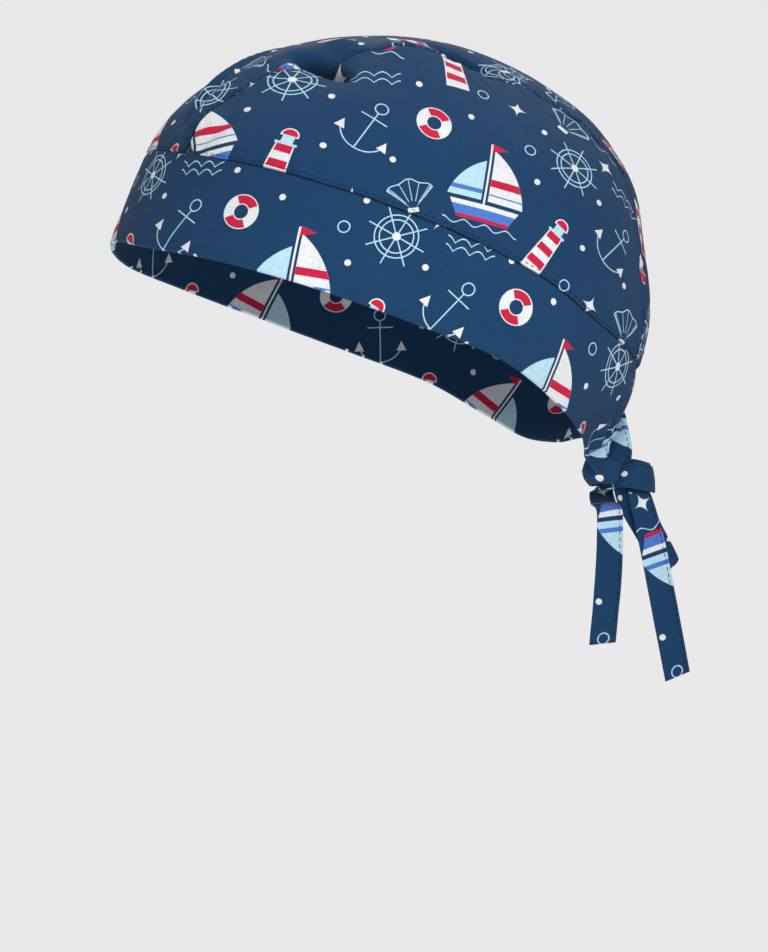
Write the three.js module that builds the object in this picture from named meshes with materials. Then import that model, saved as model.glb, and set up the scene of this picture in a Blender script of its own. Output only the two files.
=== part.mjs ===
// Bandana cap of printed cotton, in the form it has when worn: a wide folded band, a crown of
// three panels, and two ties that meet in a small flat bow at the back of the head.
// Millimetres, +Z up. The front faces -Y and the wearer's left is +X.
// The origin is the middle of the head opening, in the plane of the band's lower edge.

import * as THREE from "three";

// Driving sizes
const BAND_TILT = 22; // degrees that the head opening drops towards the back
const CROWN_HEIGHT = 120; // from the plane of the lower edge to the top of the crown
const WIDEST_Y = 6; // the head is widest a little behind its middle
const OVAL_POWER = 2.3; // 2 is an ellipse, and more is squarer
const HEART_RISE = 20; // height of the inner point that the panels are drawn around
const CROWN_WALL = 1.2; // one layer of cotton with its turned seams
const BAND_WALL = 1.8; // two layers of cotton with the turned edges between them
const SEAM_GAP = 0.5; // between the outer faces of pieces that are sewn together
const KNOT = new THREE.Vector3(4, 98, -49.6); // middle of the bow

// Mesh steps
const PANEL_STEPS = { along: 34, across: 12 };
const CENTRE_STEPS = { along: 34, across: 10 };
const BAND_STEPS = { along: 76, across: 4 };
const TIE_STEPS_PER_ROW = 4;
const MAX_REACH = 250; // no wall is further than this from the middle of the cap
const BISECTIONS = 40;
const FACING_STEP = 0.01; // share of the reach between the points that give a facing

// Ovals of the worn cap: how far each reaches from the widest line, by its height above the
// plane of the lower edge
const SECTIONS = [
  { rise: 120, front: 0, side: 0, back: 0 },
  { rise: 113, front: 40, side: 30, back: 41 },
  { rise: 104, front: 60, side: 44, back: 57.5 },
  { rise: 91, front: 79, side: 58, back: 69.5 },
  { rise: 74, front: 95, side: 69, back: 79.5 },
  { rise: 55, front: 105.5, side: 75, back: 89 },
  { rise: 37, front: 110, side: 78, back: 93.5 },
  { rise: 18, front: 111, side: 78, back: 93 },
  { rise: 0, front: 111, side: 76, back: 88 },
  { rise: -24, front: 104, side: 72, back: 79 },
];

// The band by azimuth, where 0 is the front, 90 the wearer's left and 180 the back: heights of its
// lower edge and of its seam with the crown, how far it stands off the head, and how many degrees
// the seam edge runs ahead of the middle where an end is cut on a slant. Both sides are alike up to
// the ends, which taper to the ties.
const BAND_SIDE = [
  { azimuth: 0, hem: -1, seam: 35.5, off: 0, slant: 0 },
  { azimuth: 20, hem: -2.5, seam: 34.5, off: 0, slant: 0 },
  { azimuth: 40, hem: 0.5, seam: 37.5, off: 0, slant: 0 },
  { azimuth: 60, hem: 3, seam: 40, off: 0, slant: 0 },
  { azimuth: 90, hem: 5, seam: 41, off: 0, slant: 0 },
  { azimuth: 115, hem: 5.5, seam: 39, off: 0, slant: 0 },
  { azimuth: 135, hem: 0.5, seam: 33.5, off: 0, slant: 0 },
  { azimuth: 148, hem: -3, seam: 31, off: 0, slant: 0 },
];
const BAND_LEFT_END = [
  { azimuth: 156, hem: -4.5, seam: 29, off: 0.5, slant: 1 },
  { azimuth: 162, hem: -7, seam: 20, off: 2, slant: 3 },
  { azimuth: 166, hem: -9.5, seam: 6, off: 4, slant: 4 },
];
const BAND_RIGHT_END = [
  { azimuth: -173, hem: 5, seam: 20, off: 5, slant: -1.5 },
  { azimuth: -167, hem: 3, seam: 25, off: 2.5, slant: -1 },
  { azimuth: -160, hem: -1, seam: 29, off: 1, slant: 0 },
];

// Overhead is the angle over the top of the head, in degrees
const FRONT_OVERHEAD = 0;
const TOP_OVERHEAD = 90;
const BACK_OVERHEAD = 180;

// Half width of the centre panel on its way from the front over the top to the back
const CENTRE_PANEL = [
  { overhead: 8, half: 39 },
  { overhead: 22, half: 38.5 },
  { overhead: 45, half: 43 },
  { overhead: 75, half: 41 },
  { overhead: 105, half: 37 },
  { overhead: 140, half: 37 },
  { overhead: 174, half: 38 },
];
const BACK_EDGE_RISE = 30.5; // free edge of the crown between the ends of the band

// Where a side panel runs: along its seam with the band by azimuth, and along its seam with the
// centre panel by the angle overhead. Its two ends are narrow, blunt tips.
const PANEL_AZIMUTH = { front: 24.5, back: 155 };
const PANEL_OVERHEAD = { front: 10.5, back: 172 };

// Dents and puffs of the crown, each a smooth rise or hollow that fades out at its spread
const FOLDS = [
  { name: "front tuck", overhead: 15, across: 37, alongSpread: 7, acrossSpread: 6, lift: 1.8 },
  { name: "front ridge", overhead: 36, across: 32, alongSpread: 16, acrossSpread: 6, lift: 1.6 },
  { name: "front dent", overhead: 50, across: 46, alongSpread: 7, acrossSpread: 7, lift: -5.5 },
  { name: "left puff", overhead: 66, across: 44, alongSpread: 13, acrossSpread: 12, lift: 3.5 },
  { name: "top dent", overhead: 83, across: 38, alongSpread: 6, acrossSpread: 7, lift: -4 },
  { name: "right dent", overhead: 58, across: -45, alongSpread: 9, acrossSpread: 8, lift: -4.5 },
  { name: "right puff", overhead: 80, across: -46, alongSpread: 16, acrossSpread: 12, lift: 2.5 },
  { name: "back hollow", overhead: 128, across: -12, alongSpread: 16, acrossSpread: 16, lift: -2 },
];

// Route of each tie after it leaves its end of the band, through the bow, to its free end. Places
// are from the middle of the bow. Lean turns the ribbon's width in the plane of back and up: at 0
// degrees it lies along back, and at 90 along up.
const TIE_LEFT = [
  { left: 8, back: -10.6, up: 1.6, width: 10, thick: 1.8, lean: 66 },
  { left: 3, back: -13, up: -0.8, width: 9, thick: 1.8, lean: 82 },
  { left: -3, back: -10.5, up: -1, width: 8.5, thick: 1.8, lean: 90 },
  { left: -5.5, back: -3, up: 0, width: 8, thick: 1.8, lean: 90 },
  { left: -5, back: 6, up: -0.2, width: 9.5, thick: 1.5, lean: 90 },
  { left: -3.6, back: 11.8, up: -0.6, width: 10.5, thick: 1.4, lean: 86 },
  { left: 0, back: 13.6, up: -0.8, width: 10.5, thick: 1.4, lean: 86 },
  { left: 4.3, back: 11.8, up: -0.8, width: 10.5, thick: 1.4, lean: 86 },
  { left: 6.4, back: 5, up: -0.6, width: 8.5, thick: 1.5, lean: 86 },
  { left: 5.6, back: -1, up: -2, width: 7, thick: 1.8, lean: 70 },
  { left: 4, back: -3.4, up: -8, width: 8.5, thick: 1.6, lean: 15 },
  { left: 3.6, back: -3.6, up: -16, width: 10, thick: 1.4, lean: 0 },
  { left: 3, back: -4.8, up: -38, width: 10, thick: 1.4, lean: 2 },
  { left: 2.5, back: -6.9, up: -64, width: 10, thick: 1.4, lean: 3 },
];
const TIE_RIGHT = [
  { left: -4.5, back: 3.4, up: 12.5, width: 10, thick: 1.6, lean: 42 },
  { left: -0.6, back: 1.5, up: 4.5, width: 7, thick: 2, lean: 22 },
  { left: -0.8, back: 1.5, up: -3, width: 6, thick: 2, lean: 8 },
  { left: -3, back: 5, up: -10.5, width: 8, thick: 1.5, lean: 15 },
  { left: -4, back: 13, up: -22, width: 10, thick: 1.4, lean: 33 },
  { left: -3.4, back: 18.6, up: -31.5, width: 10, thick: 1.4, lean: 32 },
  { left: -1.9, back: 19.6, up: -33.4, width: 10, thick: 1.4, lean: 32 },
  { left: -0.6, back: 18.4, up: -31, width: 10, thick: 1.4, lean: 32 },
  { left: -0.4, back: 12.6, up: -20, width: 9.5, thick: 1.4, lean: 30 },
  { left: 0.6, back: 8, up: -8.5, width: 8, thick: 1.5, lean: 20 },
  { left: 1.4, back: 7.2, up: -4.8, width: 7.5, thick: 1.5, lean: 15 },
  { left: 2.6, back: 8, up: -9, width: 9, thick: 1.4, lean: 14 },
  { left: 3.2, back: 12.2, up: -24, width: 10, thick: 1.4, lean: 16 },
  { left: 3, back: 16.8, up: -46.6, width: 10, thick: 1.4, lean: 17 },
  { left: 2.5, back: 21.8, up: -75, width: 10, thick: 1.4, lean: 22 },
];
const TIE_START = { width: 13, thick: 1.4, straight: 5 }; // where it is sewn to the band
// Section of a tie as shares of half its width and half its thickness: a flat strip, soft edges
const TIE_SECTION = [
  [-1, -0.4],
  [-0.86, -1],
  [0.86, -1],
  [1, -0.4],
  [1, 0.4],
  [0.86, 1],
  [-0.86, 1],
  [-1, 0.4],
];

const COTTON = { color: 0x27456f, roughness: 0.85, metalness: 0 };

const SIDEWAYS = new THREE.Vector3(1, 0, 0);
const UPRIGHT = new THREE.Vector3(0, 0, 1);
const HEART = new THREE.Vector3(0, WIDEST_Y, HEART_RISE);

const radians = THREE.MathUtils.degToRad;
const mix = THREE.MathUtils.lerp;

// A smooth curve through a table's rows: the value of one column at any place along another
function curveThrough(keys, values) {
  const last = keys.length - 1;
  const slopes = keys.map((key, i) => {
    const before = Math.max(i - 1, 0);
    const after = Math.min(i + 1, last);
    return (values[after] - values[before]) / (keys[after] - keys[before]);
  });
  return (key) => {
    const next = keys.findIndex((entry, i) => i > 0 && (key <= entry || i === last));
    const span = keys[next] - keys[next - 1];
    const u = THREE.MathUtils.clamp((key - keys[next - 1]) / span, 0, 1);
    const ease = u * u * (3 - 2 * u);
    const leaving = u * (1 - u) ** 2 * span * slopes[next - 1];
    const arriving = u * u * (u - 1) * span * slopes[next];
    return mix(values[next - 1], values[next], ease) + leaving + arriving;
  };
}

function column(rows, key, value) {
  return curveThrough(
    rows.map((row) => row[key]),
    rows.map((row) => row[value]),
  );
}

// The ovals close over the top of the crown as the root of the height that is left, so they are
// looked up by that root, with the row under the top mirrored to keep the top round
const rootLeft = (rise) => Math.sqrt(Math.max(1 - rise / CROWN_HEIGHT, 0));

function ovalReach(side) {
  const keys = SECTIONS.map((row) => rootLeft(row.rise));
  const reaches = SECTIONS.map((row) => row[side]);
  return curveThrough([-keys[1], ...keys], [-reaches[1], ...reaches]);
}

const frontReach = ovalReach("front");
const sideReach = ovalReach("side");
const backReach = ovalReach("back");
// The whole band, from its right end round the front to its left end
const otherSide = BAND_SIDE.slice(1).map((row) => ({ ...row, azimuth: -row.azimuth }));
const BAND = [...BAND_RIGHT_END, ...otherSide.reverse(), ...BAND_SIDE, ...BAND_LEFT_END];
const RIGHT_END = BAND[0].azimuth;
const LEFT_END = BAND[BAND.length - 1].azimuth;

const hemRise = column(BAND, "azimuth", "hem");
const seamRise = column(BAND, "azimuth", "seam");
const standOff = column(BAND, "azimuth", "off");
const endSlant = column(BAND, "azimuth", "slant");
const centreHalf = column(CENTRE_PANEL, "overhead", "half");

function isOutside(point) {
  if (point.z >= CROWN_HEIGHT) return true;
  const level = rootLeft(point.z);
  const lengthReach = point.y < WIDEST_Y ? frontReach(level) : backReach(level);
  const across = Math.abs(point.x) / sideReach(level);
  const along = Math.abs(point.y - WIDEST_Y) / lengthReach;
  return across ** OVAL_POWER + along ** OVAL_POWER > 1;
}

// The place where a straight line from inside the cap meets its smooth outer form
function meetSkin(start, direction) {
  let inside = 0;
  let outside = MAX_REACH;
  for (let i = 0; i < BISECTIONS; i += 1) {
    const middle = (inside + outside) / 2;
    if (isOutside(start.clone().addScaledVector(direction, middle))) outside = middle;
    else inside = middle;
  }
  return start.clone().addScaledVector(direction, inside);
}

function skinAtAzimuth(azimuth, rise, off = 0) {
  const direction = new THREE.Vector3(Math.sin(radians(azimuth)), -Math.cos(radians(azimuth)), 0);
  const point = meetSkin(new THREE.Vector3(0, WIDEST_Y, rise), direction);
  return point.addScaledVector(direction, off);
}

function skinOverhead(overhead, across) {
  const direction = new THREE.Vector3(0, -Math.cos(radians(overhead)), Math.sin(radians(overhead)));
  return meetSkin(new THREE.Vector3(across, WIDEST_Y, HEART_RISE), direction);
}

function foldLift(point) {
  const overhead = Math.atan2(point.z - HEART_RISE, WIDEST_Y - point.y) / radians(1);
  const lifts = FOLDS.map((fold) => {
    const along = (overhead - fold.overhead) / fold.alongSpread;
    const across = (point.x - fold.across) / fold.acrossSpread;
    return fold.lift * Math.exp(-along * along - across * across);
  });
  return lifts.reduce((sum, lift) => sum + lift, 0);
}

function withFolds(point) {
  const outward = point.clone().sub(HEART).normalize();
  return point.clone().addScaledVector(outward, foldLift(point));
}

// The direction that the folded crown faces at a point, from four points close around it
function crownFacing(point) {
  const outward = point.clone().sub(HEART).normalize();
  const helper = Math.abs(outward.x) > Math.SQRT1_2 ? UPRIGHT : SIDEWAYS;
  const along = helper.clone().cross(outward).normalize();
  const across = outward.clone().cross(along);
  const probe = (axis, step) => {
    const direction = outward.clone().addScaledVector(axis, step).normalize();
    return withFolds(meetSkin(HEART, direction));
  };
  const slopeAlong = (axis) => probe(axis, FACING_STEP).sub(probe(axis, -FACING_STEP));
  return slopeAlong(along).cross(slopeAlong(across)).normalize();
}

// A point on the skin between two others, along the arc that joins them as seen from the heart
function betweenOnSkin(from, to, share) {
  const start = from.clone().sub(HEART).normalize();
  const end = to.clone().sub(HEART).normalize();
  const angle = start.angleTo(end);
  const direction = start
    .multiplyScalar(Math.sin((1 - share) * angle))
    .addScaledVector(end, Math.sin(share * angle))
    .normalize();
  return meetSkin(HEART, direction);
}

function geometryFrom(points, triangles) {
  const geometry = new THREE.BufferGeometry();
  const positions = points.flatMap((point) => point.toArray());
  geometry.setAttribute("position", new THREE.Float32BufferAttribute(positions, 3));
  geometry.setIndex(triangles.flat());
  geometry.computeVertexNormals();
  return geometry;
}

const quad = (a, b, c, d) => [
  [a, b, c],
  [a, c, d],
];

// A cloth wall from a grid of points on its outer face and the direction that each point faces.
// Columns run along the piece and rows across it, so that along turned to across points outwards.
function clothWall(grid, wall, facingAt) {
  const columns = grid.length;
  const rows = grid[0].length;
  const outer = grid.flat();
  const inner = grid.flatMap((line, i) =>
    line.map((point, j) => point.clone().addScaledVector(facingAt(point, i, j), -wall)),
  );
  const out = (i, j) => i * rows + j;
  const inn = (i, j) => outer.length + i * rows + j;
  const triangles = [];
  for (let i = 0; i < columns - 1; i += 1) {
    for (let j = 0; j < rows - 1; j += 1) {
      triangles.push(...quad(out(i, j), out(i + 1, j), out(i + 1, j + 1), out(i, j + 1)));
      triangles.push(...quad(inn(i, j), inn(i, j + 1), inn(i + 1, j + 1), inn(i + 1, j)));
    }
  }
  const top = rows - 1;
  for (let i = 0; i < columns - 1; i += 1) {
    triangles.push(...quad(out(i + 1, 0), out(i, 0), inn(i, 0), inn(i + 1, 0)));
    triangles.push(...quad(out(i, top), out(i + 1, top), inn(i + 1, top), inn(i, top)));
  }
  const end = columns - 1;
  for (let j = 0; j < top; j += 1) {
    triangles.push(...quad(out(0, j), out(0, j + 1), inn(0, j + 1), inn(0, j)));
    triangles.push(...quad(out(end, j + 1), out(end, j), inn(end, j), inn(end, j + 1)));
  }
  return geometryFrom([...outer, ...inner], triangles);
}

function gridOf(steps, pointAt) {
  return Array.from({ length: steps.along + 1 }, (_, i) =>
    Array.from({ length: steps.across + 1 }, (_, j) => pointAt(i / steps.along, j / steps.across)),
  );
}

function clothMesh(name, geometry) {
  const mesh = new THREE.Mesh(geometry, new THREE.MeshStandardMaterial(COTTON));
  mesh.name = name;
  return mesh;
}

// A point on the outer face of the band, by its azimuth and its share of the way up
function bandPoint(azimuth, share) {
  const rise = mix(hemRise(azimuth), seamRise(azimuth), share);
  const turn = azimuth + endSlant(azimuth) * mix(-1, 1, share);
  return skinAtAzimuth(turn, rise, standOff(azimuth));
}

// The wide double band, which narrows to a tie at each end
function makeBand() {
  const grid = gridOf(BAND_STEPS, (along, across) => bandPoint(mix(RIGHT_END, LEFT_END, along), across));
  const facingAt = (point, i, j) => {
    const line = grid[i];
    const after = grid[Math.min(i + 1, BAND_STEPS.along)][j];
    const before = grid[Math.max(i - 1, 0)][j];
    const upwards = line[BAND_STEPS.across].clone().sub(line[0]);
    return after.clone().sub(before).cross(upwards).normalize();
  };
  return clothMesh("band", clothWall(grid, BAND_WALL, facingAt));
}

// Lower edge of the crown: on the band's seam, and free across the back between its ends
function crownEdgeRise(azimuth) {
  return Math.max(seamRise(azimuth), BACK_EDGE_RISE) + SEAM_GAP;
}

// The angle overhead where a line over the head meets the lower edge of the crown, looked for
// between an angle below that edge and the top
function overheadAtEdge(below, pointAt) {
  let low = below;
  let high = TOP_OVERHEAD;
  for (let i = 0; i < BISECTIONS; i += 1) {
    const middle = (low + high) / 2;
    const point = pointAt(middle);
    const azimuth = Math.atan2(point.x, WIDEST_Y - point.y) / radians(1);
    if (point.z < crownEdgeRise(azimuth)) low = middle;
    else high = middle;
  }
  return high;
}

// The strip over the middle of the head, from the band at the front to the free edge at the back
function makeCentrePanel() {
  const grid = gridOf(CENTRE_STEPS, (along, across) => {
    const share = mix(1, -1, across);
    const pointAt = (overhead) => skinOverhead(overhead, share * (centreHalf(overhead) - SEAM_GAP / 2));
    const front = overheadAtEdge(FRONT_OVERHEAD, pointAt);
    const back = overheadAtEdge(BACK_OVERHEAD, pointAt);
    return withFolds(pointAt(mix(front, back, along)));
  });
  return clothMesh("crown_centre", clothWall(grid, CROWN_WALL, crownFacing));
}

// A panel over one side of the head, between the band and the centre panel
function makeSidePanel(name, side) {
  const grid = gridOf(PANEL_STEPS, (along, across) => {
    const turned = side > 0 ? along : 1 - along;
    const azimuth = side * mix(PANEL_AZIMUTH.front, PANEL_AZIMUTH.back, turned);
    const overhead = mix(PANEL_OVERHEAD.front, PANEL_OVERHEAD.back, turned);
    const half = centreHalf(overhead) + SEAM_GAP / 2;
    const low = skinAtAzimuth(azimuth, crownEdgeRise(azimuth));
    const high = skinOverhead(overhead, side * half);
    return withFolds(betweenOnSkin(low, high, across));
  });
  return clothMesh(name, clothWall(grid, CROWN_WALL, crownFacing));
}

// The first two rows of a tie, which run straight out of the end of the band
function rowsFromBand(end, inward) {
  const [hem, middle, seam, before] = [
    bandPoint(end, 0),
    bandPoint(end, 0.5),
    bandPoint(end, 1),
    bandPoint(end + inward, 0.5),
  ].map((point) => point.applyAxisAngle(SIDEWAYS, -radians(BAND_TILT)));
  const across = seam.sub(hem).normalize();
  const run = middle.clone().sub(before);
  run.addScaledVector(across, -run.dot(across)).normalize();
  const outward = across.clone().cross(run).multiplyScalar(Math.sign(inward));
  middle.addScaledVector(outward, -BAND_WALL / 2);
  return [SEAM_GAP, TIE_START.straight].map((distance) => {
    const place = middle.clone().addScaledVector(run, distance).sub(KNOT);
    const lean = Math.atan2(across.z, across.y) / radians(1);
    return { left: place.x, back: place.y, up: place.z, lean, ...TIE_START };
  });
}

// A tie: a flat ribbon swept along its route, with its own width and lean in each row
function makeTie(name, rows) {
  const places = rows.map((row) => new THREE.Vector3(row.left, row.back, row.up).add(KNOT));
  const route = new THREE.CatmullRomCurve3(places);
  const order = rows.map((row, i) => i);
  const widthAt = curveThrough(order, rows.map((row) => row.width));
  const thickAt = curveThrough(order, rows.map((row) => row.thick));
  const leanAt = curveThrough(order, rows.map((row) => row.lean));
  const steps = (rows.length - 1) * TIE_STEPS_PER_ROW;
  const sides = TIE_SECTION.length;
  const points = [];
  for (let step = 0; step <= steps; step += 1) {
    const share = step / steps;
    const row = share * (rows.length - 1);
    const middle = route.getPoint(share);
    const tangent = route.getTangent(share);
    const lean = radians(leanAt(row));
    const across = new THREE.Vector3(0, Math.cos(lean), Math.sin(lean));
    across.addScaledVector(tangent, -across.dot(tangent)).normalize();
    const face = tangent.clone().cross(across);
    TIE_SECTION.forEach(([wide, deep]) => {
      const point = middle.clone();
      point.addScaledVector(across, (wide * widthAt(row)) / 2);
      point.addScaledVector(face, (deep * thickAt(row)) / 2);
      points.push(point);
    });
  }
  const triangles = [];
  for (let step = 0; step < steps; step += 1) {
    for (let side = 0; side < sides; side += 1) {
      const next = (side + 1) % sides;
      const here = step * sides;
      const there = here + sides;
      triangles.push(...quad(here + side, here + next, there + next, there + side));
    }
  }
  const lastRing = steps * sides;
  for (let side = 1; side < sides - 1; side += 1) {
    triangles.push([0, side + 1, side]);
    triangles.push([lastRing, lastRing + side, lastRing + side + 1]);
  }
  return clothMesh(name, geometryFrom(points, triangles));
}

const wornCap = new THREE.Group();
wornCap.rotation.x = -radians(BAND_TILT);
wornCap.add(makeBand());
wornCap.add(makeCentrePanel());
wornCap.add(makeSidePanel("crown_left", 1));
wornCap.add(makeSidePanel("crown_right", -1));

const cap = new THREE.Group();
cap.add(wornCap);
cap.add(makeTie("tie_left", [...rowsFromBand(LEFT_END, -1), ...TIE_LEFT]));
cap.add(makeTie("tie_right", [...rowsFromBand(RIGHT_END, 1), ...TIE_RIGHT]));

export default cap;
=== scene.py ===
"""Bandana cap of printed cotton, in the form it has when worn: its looks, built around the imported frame.

The cap's shapes are worked out in millimetres in a frame whose lower edge lies level. They are then
tilted, as the head opening is, and written in metres. The front faces -Y and the wearer's left is +X.
"""

import math
from functools import partial, reduce

import bpy
import numpy as np
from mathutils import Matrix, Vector


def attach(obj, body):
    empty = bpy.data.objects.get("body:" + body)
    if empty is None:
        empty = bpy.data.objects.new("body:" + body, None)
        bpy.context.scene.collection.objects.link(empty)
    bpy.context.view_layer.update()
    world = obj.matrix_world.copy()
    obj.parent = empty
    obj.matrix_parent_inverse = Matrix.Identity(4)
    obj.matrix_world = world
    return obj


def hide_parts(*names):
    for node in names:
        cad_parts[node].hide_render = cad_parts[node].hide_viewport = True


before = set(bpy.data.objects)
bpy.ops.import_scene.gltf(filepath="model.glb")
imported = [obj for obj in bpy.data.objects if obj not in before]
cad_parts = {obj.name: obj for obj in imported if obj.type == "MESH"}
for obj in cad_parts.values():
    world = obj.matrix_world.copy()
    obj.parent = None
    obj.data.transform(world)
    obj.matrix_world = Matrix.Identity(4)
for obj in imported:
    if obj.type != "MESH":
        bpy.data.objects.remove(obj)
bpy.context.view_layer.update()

MM = 0.001

# Form of the worn cap, as in the frame
BAND_TILT = 22  # degrees that the head opening drops towards the back
CROWN_HEIGHT = 120
WIDEST_Y = 6
OVAL_POWER = 2.3
HEART_RISE = 20
HEART = np.array([0, WIDEST_Y, HEART_RISE])
KNOT = np.array([4, 98, -49.6])
BACK_EDGE_RISE = 30.5
PANEL_AZIMUTH = (24.5, 155)  # where a side panel starts and ends, round the head
PANEL_OVERHEAD = (10.5, 172)  # and over it
TIE_START_SHARES = (0.93, 0.6)  # of the width of the band's end
TIE_START_THICK = 1.4
TIE_START_STRAIGHT = 5
TIE_START_PLEAT = 0.5
TIE_START_OVERLAP = 1.5  # how far inside the band's end
MAX_REACH = 250
BISECTIONS = 40
TINY = 1e-6

# Walls, and how close sewn edges lie
CROWN_WALL = 1.0
BAND_WALL = 1.7
SEAM_GAP = 0.1
RIM_BOW = 0.4  # how far a cut edge bows out, as a share of the wall

# Mesh steps
SIDE_STEPS = (340, 120)
CENTRE_STEPS = (380, 100)
BAND_STEPS = (660, 50)
TIE_STEPS_PER_ROW = 14
TIE_SIDES = 40
STITCH_RINGS = 7
STITCH_SIDES = 6
EDGE_CROWDING = 0.6  # how much closer the steps lie near edges


def columns(names, rows):
    """A table's rows as one array for each named column."""
    return {name: np.array(values, float) for name, values in zip(names.split(), zip(*rows))}


# Ovals of the worn cap: how far each reaches from the widest line, by its height
SECTIONS = columns("rise front side back", [
    (120, 0, 0, 0),
    (113, 40, 30, 41),
    (104, 60, 44, 57.5),
    (91, 79, 58, 69.5),
    (74, 95, 69, 79.5),
    (55, 105.5, 75, 89),
    (37, 110, 78, 93.5),
    (18, 111, 78, 93),
    (0, 111, 76, 88),
    (-24, 104, 72, 79),
])

# The band by azimuth: lower edge, seam, distance off the head, and slant of its cut ends
BAND_SIDE = [
    (0, -1, 35.5, 0, 0),
    (20, -2.5, 34.5, 0, 0),
    (40, 0.5, 37.5, 0, 0),
    (60, 3, 40, 0, 0),
    (90, 5, 41, 0, 0),
    (115, 5.5, 39, 0, 0),
    (135, 0.5, 33.5, 0, 0),
    (148, -3, 31, 0, 0),
]
BAND_LEFT_END = [(156, -4.5, 29, 0.5, 1), (162, -7, 20, 2, 3), (166, -9.5, 6, 4, 4)]
BAND_RIGHT_END = [(-173, 5, 20, 5, -1.5), (-167, 3, 25, 2.5, -1), (-160, -1, 29, 1, 0)]
OTHER_SIDE = [(-azimuth, *rest) for azimuth, *rest in reversed(BAND_SIDE[1:])]
BAND = columns("azimuth hem seam off slant", BAND_RIGHT_END + OTHER_SIDE + BAND_SIDE + BAND_LEFT_END)

# Half width of the centre panel by the angle over the top of the head
CENTRE_PANEL = columns("overhead half", [
    (8, 39), (22, 38.5), (45, 43), (75, 41), (105, 37), (140, 37), (174, 38),
])

# Flat chart of a side panel: the way from the heart to its middle, and the radius of its arcs
PANEL_MIDDLE = (1, 0.06, 0.55)
CHART_RADIUS = 90

# Dents and puffs of the crown
FOLDS = [
    # overhead, across, spread along, spread across, lift
    (15, 37, 7, 6, 1.8),
    (36, 32, 16, 6, 1.6),
    (46, 46, 6, 8, -4),
    (66, 44, 13, 12, 3.5),
    (80, 34, 6, 7, -3),
    (58, -45, 9, 8, -4.5),
    (80, -46, 16, 12, 2.5),
    (128, -12, 16, 16, -2),
]

# Narrow creases of the crown, each between two places on it
CREASE_RADIUS = 95
CREASES = [
    # overhead and across where it starts and where it ends, width, lift
    (14, 28, 42, 12, 1.7, 2.8),
    (9, 35, 17, 42, 1.4, -0.9),
    (11, 37, 25, 31, 2.2, 1.2),
    (12, 30, 27, 24, 2, -1.2),
    (10, 43, 22, 49, 2, -1.1),
    (10, -36, 24, -30, 2.2, -1),
    (39, 33, 50, 54, 2.8, -8),
    (48, 30, 57, 43, 4, 2.2),
    (71, 27, 89, 38, 2.7, -7),
    (56, 33, 78, 47, 5, 0.7),
    (20, 46, 34, 62, 4.5, 0.5),
    (118, 40, 150, 58, 5, 0.6),
    (136, 22, 166, 40, 4, -0.6),
    (128, -30, 160, -45, 5, 0.6),
    (40, -34, 70, -58, 4, -0.7),
    (100, -20, 130, 10, 6, 0.5),
]

# Routes of the ties from the middle of the bow. The cup is how far a tie bows out across its width,
# and the pleat how deep its lengthwise folds are
TIE_COLUMNS = "left back up width thick lean cup pleat"
TIE_LEFT = [
    (9.5, -8.4, 4.6, 9.5, 1.6, 66, 0, 0.7),
    (5.4, -4, 3, 9, 1.4, 78, 0, 0.5),
    (5.2, -1.4, 2.4, 9.4, 1.4, 73, 0, 0.3),
    (7.4, -1.5, 2.2, 9.8, 1.6, 73, 0.2, 0.2),
    (8.6, -5.2, 1.9, 10.4, 2.2, 84, 1, 0.2),
    (6.8, -8.8, 2, 10.6, 2.4, 88, 2.2, 0.2),
    (2.8, -10.8, 1.8, 10.6, 2.4, 88, 2.4, 0.2),
    (-2.5, -9.4, 1, 10, 2, 90, 1.4, 0),
    (-5.5, -3, 1.4, 8.5, 1.8, 90, 0.4, 0),
    (-5, 5.5, 2.2, 9.5, 1.5, 90, 0, 0),
    (-3.4, 11.4, 0.4, 10.5, 1.4, 97, 0, 0),
    (0, 13.2, -0.9, 11, 1.4, 101, 0.2, 0),
    (4.3, 11.8, -0.8, 11, 1.5, 100, 0.5, 0),
    (7.6, 7, -0.2, 10.6, 1.6, 96, 0.8, 0.2),
    (6.2, 2.4, -0.2, 9, 1.8, 90, 0.5, 0.4),
    (2.4, -1, -1, 7.5, 1.8, 75, 0, 0.5),
    (-5, -3.4, -2.4, 8.5, 1.8, 40, 0, 0.5),
    (-10.5, -4, -6, 9.4, 1.6, 12, 0, 0.3),
    (-7, -4.1, -10.2, 10, 1.5, 5, 0, 0.2),
    (0.8, -3.9, -12.2, 10.2, 1.4, 3, 0, 0.1),
    (2.9, -3.8, -17, 10.2, 1.4, 2, 0, 0.1),
    (3, -4.5, -38, 10.4, 1.4, 1, 0, 0),
    (2.5, -6.8, -64.4, 10.2, 1.4, -2, 0, 0),
]
TIE_RIGHT = [
    (-6.5, 0.4, 16, 11.5, 1.6, 30, 0, 0.3),
    (-2.2, 0.4, 9.5, 11.5, 1.6, 6, 0, 0.3),
    (0.4, 0.4, 3.5, 8.5, 2, 5, 0, 0.6),
    (-0.8, 1.5, -3, 6.5, 2, 8, 0, 0.6),
    (-3, 5, -10.5, 8, 1.5, 15, 0, 0.3),
    (-4, 13, -22, 10, 1.4, 33, 0, 0),
    (-3.4, 19, -32.2, 10, 1.4, 32, 0.4, 0),
    (-1.9, 20.2, -34.4, 10, 1.4, 32, 1, 0),
    (-0.6, 18.8, -31.8, 10, 1.4, 32, 0.4, 0),
    (-0.4, 12.8, -20, 9.5, 1.4, 30, 0, 0),
    (0.6, 8.2, -8.5, 8, 1.5, 20, 0, 0.3),
    (1.4, 7.4, -4.8, 7.5, 1.5, 15, 0, 0.4),
    (2.6, 8.4, -9, 9, 1.4, 14, 0, 0.2),
    (3.2, 12.2, -24, 10.2, 1.4, 13, 0, 0),
    (3, 16.8, -46.6, 10.4, 1.4, 12, 0, 0),
    (2.5, 22.8, -77, 10.2, 1.4, 12, 0, 0),
]
TIE_WIDTH = 10
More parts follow.
